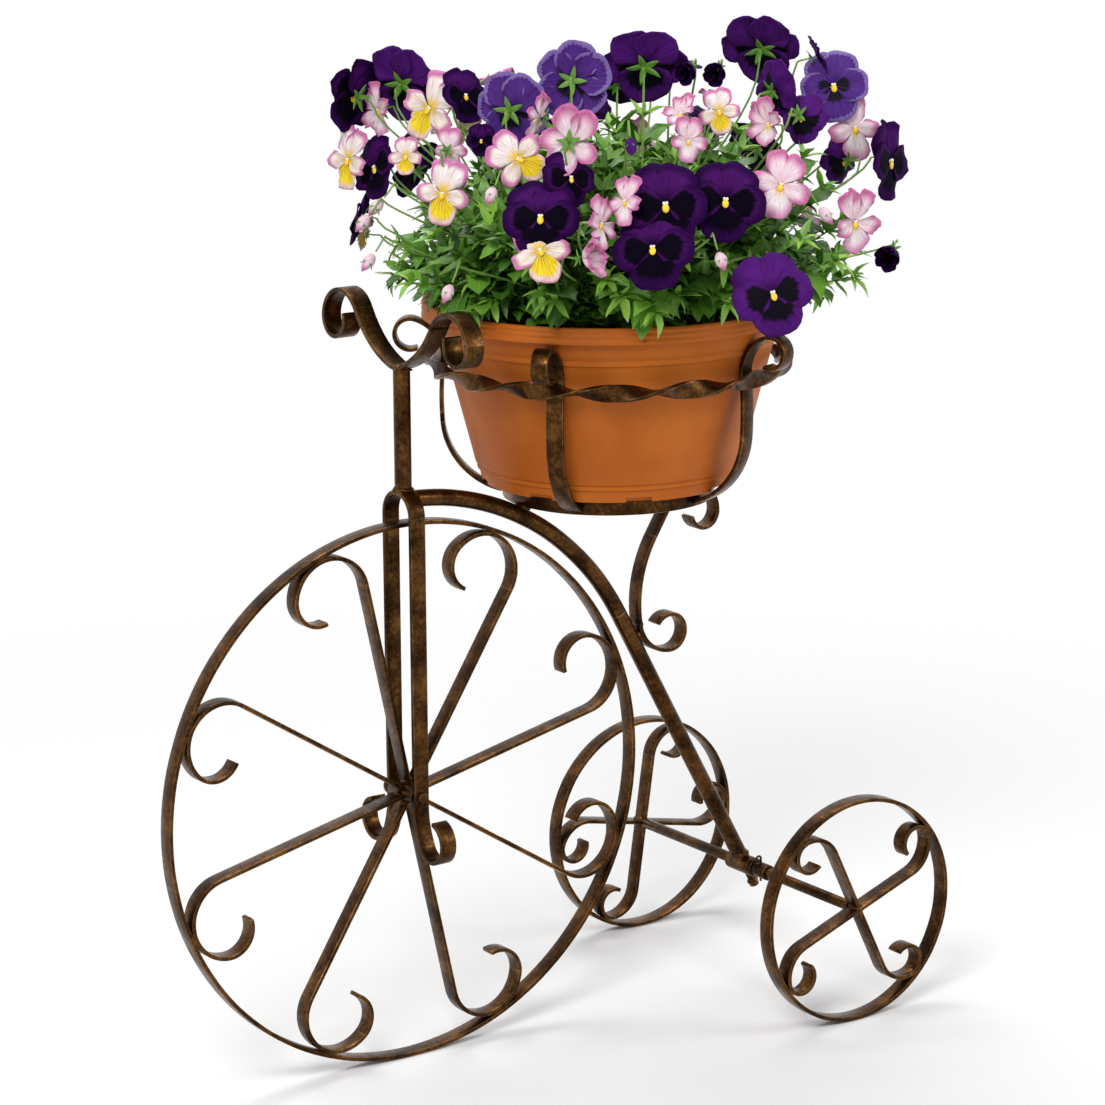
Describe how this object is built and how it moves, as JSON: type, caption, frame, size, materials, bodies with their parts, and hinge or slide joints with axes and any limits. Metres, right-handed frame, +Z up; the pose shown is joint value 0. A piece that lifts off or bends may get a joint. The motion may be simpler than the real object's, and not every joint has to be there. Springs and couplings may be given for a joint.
{
  "type": "bicycle planter",
  "caption": "Plant stand bent from iron strip in the shape of a high-wheel tricycle, whose ring holder carries a round plastic pot of pansies and violas above turning wheels.",
  "frame": {"origin": "the point of the ground under the front wheel's axle, in the middle of its rim", "axes": "+X back along the stand towards the rear axle, +Y to its right side, +Z up"},
  "size_m": [0.616, 0.4231, 0.759],
  "materials": {
    "bronzed_iron": "dark brown paint rubbed to a mottled bronze, half gloss",
    "terracotta_plastic": "matt moulded plastic in terracotta orange",
    "potting_mix": "dark crumbly potting mix",
    "plants": "green leaves with dark violet, violet, pink and yellow blooms"
  },
  "bodies": {
    "frame": {"stem": "bronzed_iron", "handlebar": "bronzed_iron", "fork": "bronzed_iron", "front_wheel_pin": "bronzed_iron", "backbone": "bronzed_iron", "rear_sleeve": "bronzed_iron", "set_bolt": "bronzed_iron", "scroll_prop": "bronzed_iron", "base_ring": "bronzed_iron", "holder_upright_1": "bronzed_iron", "holder_upright_2": "bronzed_iron", "holder_upright_3": "bronzed_iron", "holder_upright_4": "bronzed_iron", "holder_upright_5": "bronzed_iron", "twisted_hoop": "bronzed_iron"},
    "front_wheel": {"front_rim": "bronzed_iron", "front_hub": "bronzed_iron", "front_spoke_1": "bronzed_iron", "front_spoke_2": "bronzed_iron", "front_spoke_3": "bronzed_iron", "front_spoke_4": "bronzed_iron", "front_spoke_5": "bronzed_iron", "front_spoke_6": "bronzed_iron", "front_spoke_7": "bronzed_iron", "front_spoke_8": "bronzed_iron"},
    "rear_wheels": {"rear_axle": "bronzed_iron", "stop_ring_left": "bronzed_iron", "stop_ring_right": "bronzed_iron", "axle_collar": "bronzed_iron", "split_pin": "bronzed_iron", "left_rim": "bronzed_iron", "left_scroll_bar": "bronzed_iron", "left_scroll_arm_upper": "bronzed_iron", "left_scroll_arm_lower": "bronzed_iron", "right_rim": "bronzed_iron", "right_scroll_bar": "bronzed_iron", "right_scroll_arm_upper": "bronzed_iron", "right_scroll_arm_lower": "bronzed_iron"},
    "potted_plants": {"pot": "terracotta_plastic", "potting_mix": "potting_mix", "flowering_plants": "plants"}
  },
  "joints": [
    {"name": "front_wheel_spin", "type": "hinge", "parent": "frame", "child": "front_wheel", "pos_m": [0, 0, 0.207], "axis": [0, 1, 0], "continuous": true},
    {"name": "rear_axle_spin", "type": "hinge", "parent": "frame", "child": "rear_wheels", "pos_m": [0.32, 0, 0.089], "axis": [0, 1, 0], "continuous": true},
    {"name": "pot_lift", "type": "slide", "parent": "frame", "child": "potted_plants", "axis": [0, 0, 1], "range_m": [0, 0.13]}
  ]
}
